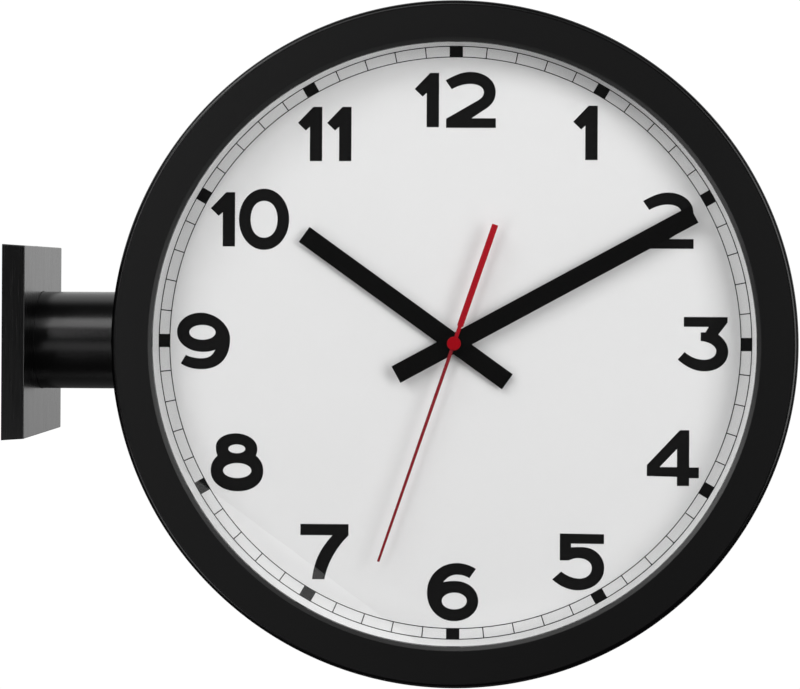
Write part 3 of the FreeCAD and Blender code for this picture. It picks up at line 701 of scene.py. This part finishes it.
@dataclass(frozen=True)
class Figure:
    """One printed figure of the dial.

    Attributes:
        strokes: Strokes of its outline.
        left: Its left edge on the dial.
        foot: Its foot on the dial.
        eyes: The closed holes in it, as outlines.
    """

    strokes: Sequence[Stroke]
    left: float
    foot: float
    eyes: Sequence[Sequence[Point]] = ()

    def contours(self) -> list[list[Point]]:
        """Give the figure's outline and holes, in place on the dial."""
        drawn = [outline(self.strokes)] + [list(eye) for eye in self.eyes]
        return [[(x + self.left, y + self.foot) for x, y in contour] for contour in drawn]


@dataclass
class DialPrint(SubAssembly):
    """Numerals, minute track and hour blocks of one dial."""

    side: Side
    track_out: float = 174.35
    track_in: float = 168.05
    line_w: float = 0.53
    tick_w: float = 0.61
    block_w: float = 7.8
    track_at: Point = (0.08, 0.34)
    track_turn: float = 0.09
    block_lift: float = 0.01
    zero_half: Point = (14.85, 18.05)
    zero_eye: Point = (7.95, 10.85)

    def figures(self) -> list[Figure]:
        """Lay out the numerals.

        Returns:
            The figures of one to twelve.
        """
        zero_out = oval(0.0, 0.0, *self.zero_half)
        zero_eye = oval(0.0, 0.0, *self.zero_eye, fullness=0.60)
        return [
            Figure(ONE, -24.1, 127.0),
            Figure(TWO, -5.9, 126.65),
            Figure(ONE, 69.25, 107.95),
            Figure(TWO, 110.45, 56.05),
            Figure(THREE, 131.1, -15.8),
            Figure(FOUR, 113.3, -83.05, [outline(FOUR_EYE)]),
            Figure(FIVE, 58.1, -144.7),
            Figure(SIX, -15.45, -163.4, [oval(16.1, 11.85, 7.35, 4.9)]),
            Figure(SEVEN, -90.2, -139.4),
            Figure(EIGHT, -143.4, -88.0, [oval(15.4, 25.0, 5.0, 2.6), oval(15.7, 12.2, 8.35, 4.4)]),
            Figure(NINE, -163.75, -16.2, [oval(15.05, 21.75, 7.75, 4.35)]),
            Figure(ONE, -144.15, 56.3),
            Figure(tuple(zero_out), -112.6, 72.4, [zero_eye]),
            Figure(ONE, -92.9, 106.8),
            Figure(ONE, -75.65, 106.85),
        ]

    def build(self) -> None:
        """Make the prints as very thin plates on the dial."""
        to_row = self.side.to_row()
        numerals = Sketch()
        for figure in self.figures():
            numerals.prism(figure.contours(), PRINT_FLOOR, PRINT_TOP)
        self.numerals = numerals.piece(self.side.value + "_numerals", to_row)
        track = Sketch()
        for edge in (self.track_in, self.track_out):
            track.loops(ring_rings(edge - self.line_w / 2, edge + self.line_w / 2,
                                   PRINT_FLOOR, PRINT_TOP, 360))
        blocks = Sketch()
        for minute in range(60):
            on_hour = minute % 5 == 0
            wide = self.block_w if on_hour else self.tick_w
            past = self.line_w / 2 if on_hour else 0.0
            low, high = self.track_in - past, self.track_out + past
            corners = ((-wide / 2, low), (wide / 2, low), (wide / 2, high), (-wide / 2, high))
            turned = [turn_point(corner, -6.0 * minute - self.track_turn) for corner in corners]
            plate = blocks if on_hour else track
            plate.prism([turned], PRINT_FLOOR, PRINT_TOP + self.block_lift)
        to_track = to_row @ Matrix.Translation((*self.track_at, 0.0))
        self.track = track.piece(self.side.value + "_minute_track", to_track)
        self.blocks = blocks.piece(self.side.value + "_hour_blocks", to_track)

    def dress(self) -> None:
        """Give the prints their ink."""
        self.seat(self.numerals, INK, "hand_black")
        self.seat(self.track, INK, "hand_black")
        self.seat(self.blocks, INK, "hand_black")


def turn_point(point: Point, degrees: float) -> Point:
    """Turn a point about the origin.

    Args:
        point: The point.
        degrees: Angle, anticlockwise.

    Returns:
        The turned point.
    """
    c, s = math.cos(math.radians(degrees)), math.sin(math.radians(degrees))
    return (point[0] * c - point[1] * s, point[0] * s + point[1] * c)


def ring_rings(inner: float, outer: float, low: float, high: float, steps: int
               ) -> list[list[Vector]]:
    """Give the four rings of a flat washer.

    Args:
        inner: Inner radius.
        outer: Outer radius.
        low: Lower level.
        high: Upper level.
        steps: Number of points in each ring.

    Returns:
        The rings, in order round its section.
    """
    section = ((inner, low), (outer, low), (outer, high), (inner, high))
    return [ring(radius, level, steps) for radius, level in section]


def ring(radius: float, level: float, steps: int) -> list[Vector]:
    """Give the points of a circle about the z axis."""
    return [Vector((x, y, level)) for x, y in arc((0, 0), radius, 0, 360, steps)[:-1]]


@dataclass
class WallCover(SubAssembly):
    """Square cover over the wall bracket, with a round hole for the arm."""

    wall_half: float = 56.8
    face_half: float = 55.95
    depth: float = 13.0
    skin: float = 1.5
    hole_r: float = 29.15
    hole_round: Point = (0.1, 0.12)
    edge: float = 0.45
    corner: float = 0.7
    side_steps: int = 24
    corner_steps: int = 4

    def square(self, half: float, x: float, corner: float) -> list[Vector]:
        """Give a square ring with rounded corners.

        Args:
            half: Half its side.
            x: Its distance from the wall.
            corner: Radius of its corners.

        Returns:
            The points, starting at the middle of the +Y side.
        """
        made: list[Vector] = []
        straight = half - corner
        for quarter in range(4):
            turn = 90.0 * quarter
            for n in range(self.side_steps):
                y = -straight + 2 * straight * n / self.side_steps
                made.append(self.lay_up(turn_point((half, y), turn), x))
            for point in arc((straight, straight), corner, 0, 90, self.corner_steps)[:-1]:
                made.append(self.lay_up(turn_point(point, turn), x))
        return made

    def circle(self, radius: float, x: float) -> list[Vector]:
        """Give a round ring whose points face those of the square rings.

        Args:
            radius: Its radius.
            x: Its distance from the wall.

        Returns:
            The points.
        """
        made = []
        for point in self.square(self.face_half, x, self.corner):
            around = math.atan2(point.z, point.y)
            made.append(Vector((x, radius * math.cos(around), radius * math.sin(around))))
        return made

    @staticmethod
    def lay_up(point: Point, x: float) -> Vector:
        """Put a point of the cover's plan at a distance from the wall."""
        return Vector((x, point[0], point[1]))

    def build(self) -> None:
        """Make the cover as one skin, from the wall over the face and back inside."""
        slope = (self.wall_half - self.face_half) / self.depth
        rings = [self.square(self.wall_half, 0.0, self.corner)]
        for turn in (0.0, 30.0, 60.0, 90.0):
            back = self.edge * (1 - math.sin(math.radians(turn)))
            inward = self.edge * (1 - math.cos(math.radians(turn)))
            half = self.face_half + slope * back - inward
            rings.append(self.square(half, self.depth - back, self.corner))
        rings.append(self.circle(self.hole_r + self.edge, self.depth))
        wider, deeper = self.hole_round
        rings.append(self.circle(self.hole_r + wider, self.depth - deeper))
        rings.append(self.circle(self.hole_r, self.depth - self.edge))
        rings.append(self.circle(self.hole_r, self.depth - self.skin))
        inside = self.face_half - self.skin
        rings.append(self.square(inside, self.depth - self.skin, self.corner))
        rings.append(self.square(self.wall_half - self.skin, 0.0, self.corner))
        cover = Sketch()
        cover.loops(rings)
        self.cover = cover.piece("wall_cover_shell", wall_to_row(), 35.0)
        even_out(self.cover)

    def dress(self) -> None:
        """Give the cover its brushed black coat."""
        self.seat(self.cover, BRUSHED, "black_coat", "root", ["wall_cover"])


def even_out(piece: bpy.types.Object) -> None:
    """Let the large faces of a piece set the shading where they meet narrow edge rounds."""
    weighted = piece.modifiers.new("weighted", "WEIGHTED_NORMAL")
    weighted.keep_sharp = True
    weighted.weight = 80


@dataclass
class BezelRing(SubAssembly):
    """Pressed rim round one dial: skirt, round shoulder, flat face and stepped lip."""

    side: Side
    outer_r: float = 199.93
    skirt_foot: float = 29.4
    face_level: float = 45.0
    shoulder_r: float = 3.0
    sheet: float = 1.5
    step_r: float = 177.9
    step_level: float = 44.5
    lip_r: float = 175.8
    lip_level: float = 43.6
    lip_foot: float = 40.0
    slope_back: Point = (179.4, 43.5)
    lip_back: float = 42.85
    shoulder_steps: int = 12
    steps: int = 360

    def section(self) -> list[Point]:
        """Draw the sheet cut through, from the foot of the skirt over the face and back.

        Returns:
            Radii and levels.
        """
        bend = (self.outer_r - self.shoulder_r, self.face_level - self.shoulder_r)
        inside_r = self.lip_r + self.sheet
        return [
            (self.outer_r, self.skirt_foot),
            *arc(bend, self.shoulder_r, 0, 90, self.shoulder_steps),
            (self.step_r, self.face_level),
            (self.step_r, self.step_level),
            (self.lip_r, self.lip_level),
            (self.lip_r, self.lip_foot),
            (inside_r, self.lip_foot),
            (inside_r, self.lip_back),
            self.slope_back,
            *arc(bend, self.shoulder_r - self.sheet, 90, 0, self.shoulder_steps),
            (self.outer_r - self.sheet, self.skirt_foot),
        ]

    def build(self) -> None:
        """Turn the section about the axis of the drum."""
        sheet = Sketch()
        sheet.loops([ring(radius, level, self.steps) for radius, level in self.section()])
        self.sheet_ring = sheet.piece(self.side.value + "_bezel_ring", self.side.to_row())
        even_out(self.sheet_ring)

    def dress(self) -> None:
        """Give the rim its black coat."""
        self.seat(self.sheet_ring, RIM, "black_coat", "root", [self.side.value + "_bezel"])


@dataclass
class SocketScrews(SubAssembly):
    """Countersunk screws with a hexagon socket, all alike."""

    name: str
    places: Sequence[Matrix]
    stands_for: str
    head_r: float = 2.75
    shank_r: float = 1.5
    cone_h: float = 1.35
    length: float = 8.95
    edge: float = 0.08
    edge_h: float = 0.12
    socket_r: float = 1.15
    socket_d: float = 0.9
    socket_sink: float = 0.08
    socket_flare: float = 1.12
    steps: int = 36

    def build(self) -> None:
        """Make the screws, each with its head up along z and the head's top at the origin."""
        made = Sketch()
        for place in self.places:
            hexagon = []
            for n in range(self.steps):
                side = n % (self.steps // 6) / (self.steps // 6)
                first = turn_point((self.socket_r, 0), 60.0 * (n // (self.steps // 6)))
                second = turn_point(first, 60.0)
                hexagon.append((first[0] + (second[0] - first[0]) * side,
                                first[1] + (second[1] - first[1]) * side))
            rings = [
                ring(self.shank_r, -self.length, self.steps),
                ring(self.shank_r, -self.cone_h, self.steps),
                ring(self.head_r, -self.edge_h, self.steps),
                ring(self.head_r - self.edge, 0.0, self.steps),
                [Vector((x * self.socket_flare, y * self.socket_flare, 0.0)) for x, y in hexagon],
                [Vector((x, y, -self.socket_sink)) for x, y in hexagon],
                [Vector((x, y, -self.socket_d)) for x, y in hexagon],
            ]
            body = Sketch()
            body.loops(rings, closed=False)
            made.add([place @ point for point in body.points], body.faces)
        self.screws = made.piece(self.name, wall_to_row())

    def dress(self) -> None:
        """Give the screws their black coat."""
        self.seat(self.screws, Coat.SCREW.value, "black_screw", "root", [self.stands_for])


def bezel_screw_places(off_middle: float = 33.2, head_top: float = 199.95) -> list[Matrix]:
    """Give the places of the eight bezel screws.

    Args:
        off_middle: Distance of the screws from the middle plane of the drum.
        head_top: Radius at which the tops of the heads lie.

    Returns:
        Matrices from a screw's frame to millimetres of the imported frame.
    """
    made = []
    for level in (off_middle, -off_middle):
        for turn in (45.0, 135.0, 225.0, 315.0):
            out = Matrix.Rotation(math.radians(-turn), 4, "Y") @ Matrix.Rotation(
                math.radians(90), 4, "Y")
            middle = Matrix.Translation((REACH, level, 0))
            made.append(middle @ out @ Matrix.Translation((0, 0, head_top)))
    return made


def cover_screw_places(off_wall: float = 6.5, head_top: float = 56.3) -> list[Matrix]:
    """Give the places of the two cover screws.

    Args:
        off_wall: Distance of the screws from the wall.
        head_top: Distance of the tops of the heads from the arm's axis.

    Returns:
        Matrices from a screw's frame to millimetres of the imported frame.
    """
    made = []
    for turn in (0.0, 180.0):
        roll = Matrix.Rotation(math.radians(turn), 4, "X")
        made.append(roll @ Matrix.Translation((off_wall, 0, head_top)))
    return made


@dataclass
class Hands(SubAssembly):
    """The three hands of one dial."""

    side: Side
    second_at: float = 198.9
    second_low: float = 33.5
    second_high: float = 33.9
    weight_halves: tuple[Point, ...] = (
        (1.85, -73.6), (1.85, -11.2), (1.15, -10.2), (1.15, 0.0))
    needle_halves: tuple[Point, ...] = ((1.05, -0.5), (0.75, 135.1))
    second_edge: float = 0.08
    edge_cut: float = 0.3
    stamped_edge: float = 0.14
    stamped_turn: float = 40.0
    collet_r: float = 1.1
    collet_foot: float = 31.9
    cap_r: float = 4.05
    cap_top: float = 35.3
    cap_shares: tuple[Point, ...] = (
        (1.0, 0.0), (1.0, 0.72), (0.985, 0.88), (0.95, 0.97), (0.90, 0.995), (0.45, 1.0),
        (0.12, 1.0))

    def blade(self, halves: Sequence[Point]) -> Sketch:
        """Draw a flat blade of the second hand.

        Args:
            halves: Its half widths and where they lie along the hand.

        Returns:
            The blade at the hand's rest angle, its upper edges rounded.
        """
        last = len(halves) - 1
        rings = []
        for inset, level in ((0.0, self.second_low),
                             (0.0, self.second_high - self.second_edge),
                             (self.second_edge * self.edge_cut,
                              self.second_high - self.second_edge * self.edge_cut),
                             (self.second_edge, self.second_high)):
            right = []
            for n, (half, along) in enumerate(halves):
                end = inset if n == 0 else -inset if n == last else 0.0
                right.append((half - inset, along + end))
            drawn = right + [(-half, along) for half, along in reversed(right)]
            turned = [turn_point(point, -self.second_at) for point in drawn]
            rings.append([Vector((x, y, level)) for x, y in turned])
        sketch = Sketch()
        sketch.loops(rings, closed=False)
        return sketch

    def build(self) -> None:
        """Make the needle and the weighted tail of the second hand, and the cap over them."""
        name = self.side.value + "_second_"
        needle = self.blade(self.needle_halves)
        needle.loops([ring(self.collet_r, self.collet_foot, 32),
                      ring(self.collet_r, self.second_low + self.second_edge, 32)], closed=False)
        self.needle = needle.piece(name + "needle", self.side.to_row())
        self.weight = self.blade(self.weight_halves).piece(name + "weight", self.side.to_row())
        cap = Sketch()
        rise = self.cap_top - self.second_high
        cap.loops([
            ring(self.cap_r * share, self.second_high + rise * height, 48)
            for share, height in self.cap_shares], closed=False)
        self.cap = cap.piece(name + "cap", self.side.to_row(), 50.0)

    def dress(self) -> None:
        """Round the stamped hands' edges; give the needle a darker red than the weight, the cap its
        own.
        """
        side = self.side.value + "_"
        for stamped in ("hour_hand", "minute_hand"):
            edge = frame["nodes"][side + stamped].modifiers.new("edge", "BEVEL")
            edge.width = self.stamped_edge * MM
            edge.segments = 2
            edge.limit_method = "ANGLE"
            edge.angle_limit = math.radians(self.stamped_turn)
        self.seat(self.needle, NEEDLE_RED, "hand_red", side + "seconds",
                  [side + "second_hand"])
        self.seat(self.weight, Coat.RED.value, "hand_red", side + "seconds",
                  [side + "second_hand"])
        self.seat(self.cap, CAP_RED, "hand_red", side + "seconds")


# --- Studio ----------------------------------------------------------------------------------
@dataclass(frozen=True)
class Softbox:
    """A flat lamp.

    Attributes:
        name: Its name.
        place: Where it stands, in metres.
        width: Its width in metres.
        height: Its height in metres.
        power: Its power in watts.
        aim: The point that it faces, the middle of the drum if nothing else is said.
        roll: Turn about its own axis in degrees.
    """

    name: str
    place: Colour
    width: float
    height: float
    power: float
    aim: Colour = (REACH * MM, 0.0, 0.0)
    roll: float = 0.0

    def light(self) -> None:
        """Put the lamp up."""
        lamp = bpy.data.lights.new(self.name, "AREA")
        lamp.shape = "RECTANGLE"
        lamp.size = self.width
        lamp.size_y = self.height
        lamp.energy = self.power
        stand = bpy.data.objects.new(self.name, lamp)
        way = Vector(self.aim) - Vector(self.place)
        stand.rotation_mode = "QUATERNION"
        facing = way.to_track_quat("-Z", "Y").to_matrix()
        stand.rotation_quaternion = (
            facing @ Matrix.Rotation(math.radians(self.roll), 3, "Z")).to_quaternion()
        stand.location = self.place
        bpy.context.scene.collection.objects.link(stand)


@dataclass
class Studio:
    """Camera, lamps, surrounding light and floor, in metres and degrees."""

    lens: float = 109.13
    camera_at: Colour = (0.3028, -1.4511, 0.0384)
    heading: float = 1.57
    tilt: float = 0.37
    lean: float = 0.27
    shift: Point = (-0.0742, -0.1029)
    floor_level: float = -2.6
    floor_r: float = 1.0
    floor_clear: float = 0.1
    floor_full_r: float = 0.15
    floor_grey: float = 0.75
    air_above: float = 0.95
    air_below: float = 0.08
    air_front: float = 0.03
    air_seen: float = 1.02
    air_depth: float = 0.45
    horizon: Point = (-0.35, 0.10)
    softboxes: tuple[Softbox, ...] = (
        Softbox("right_box", (1.6, -1.3, 0.55), 0.9, 0.9, 13.0),
        Softbox("right_low_box", (1.65, -1.2, -0.2), 0.8, 0.6, 9.6),
        Softbox("top_right_box", (0.95, -1.2, 1.25), 0.7, 0.7, 2.2),
        Softbox("top_box", (-0.05, -1.35, 1.20), 0.8, 0.7, 5.9),
        Softbox("top_left_box", (-0.9, -1.0, 1.2), 0.7, 0.7, 14.4),
        Softbox("near_left_box", (-0.72, -1.60, 0.50), 0.6, 0.6, 5.4),
        Softbox("low_left_box", (-0.9, -1.3, -0.8), 0.7, 0.7, 6.0),
        Softbox("glass_card", (-0.1745, -1.70, -0.485), 1.1, 0.5, 1.12,
                aim=(-0.1745, 0.0, -0.485), roll=-35.94),
    )

    def set_camera(self) -> None:
        """Put the camera where the photographer's was."""
        lens = bpy.data.cameras.new("camera")
        lens.lens = self.lens
        lens.sensor_width = 36.0
        lens.shift_x, lens.shift_y = self.shift
        lens.clip_start = 0.05
        lens.clip_end = 60.0
        camera = bpy.data.objects.new("camera", lens)
        camera.location = self.camera_at
        turn = (
            Matrix.Rotation(math.radians(self.heading), 3, "Z")
            @ Matrix.Rotation(math.radians(90 + self.tilt), 3, "X")
            @ Matrix.Rotation(math.radians(self.lean), 3, "Z"))
        camera.rotation_euler = turn.to_euler()
        bpy.context.scene.collection.objects.link(camera)
        bpy.context.scene.camera = camera

    def set_air(self) -> None:
        """Surround the clock with soft light, bright behind it and dim behind the camera."""
        world = bpy.data.worlds.new("air")
        bpy.context.scene.world = world
        bench = NodeBench.cleared(world)
        place = bench.add("ShaderNodeTexCoord")
        axes = bench.add("ShaderNodeSeparateXYZ")
        strength = bench.add("ShaderNodeMath", operation="MULTIPLY_ADD")
        strength.inputs[2].default_value = self.air_front
        path = bench.add("ShaderNodeLightPath")
        seen = bench.add("ShaderNodeBackground", {
            "Color": (1, 1, 1, 1), "Strength": self.air_seen})
        felt = bench.add("ShaderNodeBackground", {"Color": (1, 1, 1, 1)})
        mix = bench.add("ShaderNodeMixShader")
        out = bench.add("ShaderNodeOutputWorld")
        bench.join(place.outputs["Generated"], axes.inputs["Vector"])
        behind = bench.fade(axes.outputs["Y"], (0.0, self.air_depth))
        above = bench.fade(axes.outputs["Z"], self.horizon, self.air_below, self.air_above)
        bench.join(behind, strength.inputs[0])
        bench.join(above, strength.inputs[1])
        bench.join(strength.outputs["Value"], felt.inputs["Strength"])
        bench.join(path.outputs["Is Camera Ray"], mix.inputs[0])
        bench.join(felt.outputs["Background"], mix.inputs[1])
        bench.join(seen.outputs["Background"], mix.inputs[2])
        bench.join(mix.outputs["Shader"], out.inputs["Surface"])

    def set_floor(self) -> None:
        """Lay a pale round floor that fades out at its edge."""
        floor = Sketch()
        floor.loops(ring_rings(0.001, self.floor_r / MM, -2.0, 0.0, 96))
        place = Matrix.Translation((REACH * MM, 0, self.floor_level)) @ Matrix.Scale(MM, 4)
        piece = floor.piece("floor", place)
        made = bpy.data.materials.new("floor")
        bench = NodeBench.cleared(made)
        coords = bench.add("ShaderNodeTexCoord")
        shifted = bench.add("ShaderNodeMapping")
        shifted.inputs["Location"].default_value = (-REACH * MM, 0, -self.floor_level)
        reach = bench.add("ShaderNodeVectorMath", operation="LENGTH")
        grey = self.floor_grey
        chalk = bench.add("ShaderNodeBsdfDiffuse", {"Color": (grey, grey, grey, 1)})
        clear = bench.add("ShaderNodeBsdfTransparent")
        mix = bench.add("ShaderNodeMixShader")
        out = bench.add("ShaderNodeOutputMaterial")
        bench.join(coords.outputs["Object"], shifted.inputs["Vector"])
        bench.join(shifted.outputs["Vector"], reach.inputs[0])
        fading = (self.floor_full_r, self.floor_r - self.floor_clear)
        bench.join(bench.fade(reach.outputs["Value"], fading, 1.0, 0.0), mix.inputs[0])
        bench.join(clear.outputs["BSDF"], mix.inputs[1])
        bench.join(chalk.outputs["BSDF"], mix.inputs[2])
        bench.join(mix.outputs["Shader"], out.inputs["Surface"])
        piece.data.materials.append(made)

    def set_up(self) -> None:
        """Put up the whole studio."""
        view = bpy.context.scene.view_settings
        view.view_transform = "Standard"
        view.look = "None"
        self.set_camera()
        self.set_air()
        self.set_floor()
        for softbox in self.softboxes:
            softbox.light()


def main() -> None:
    """Build and dress every sub-assembly, then put up the studio."""
    logging.basicConfig(level=logging.INFO, format="%(name)s: %(message)s")
    groups: list[SubAssembly] = [
        PackedPieces(),
        DialPrint(Side.FRONT),
        DialPrint(Side.REAR),
        Hands(Side.FRONT),
        Hands(Side.REAR),
        WallCover(),
        BezelRing(Side.FRONT),
        BezelRing(Side.REAR),
        SocketScrews("bezel_screw_set", bezel_screw_places(), "bezel_screws"),
        SocketScrews("cover_screw_pair", cover_screw_places(), "cover_screws", length=9.3),
    ]
    for group in groups:
        group.build()
        group.dress()
        for piece in group.pieces:
            LOG.info("%s made %s", type(group).__name__, piece.name)
    Studio().set_up()


if __name__ == "__main__":
    main()
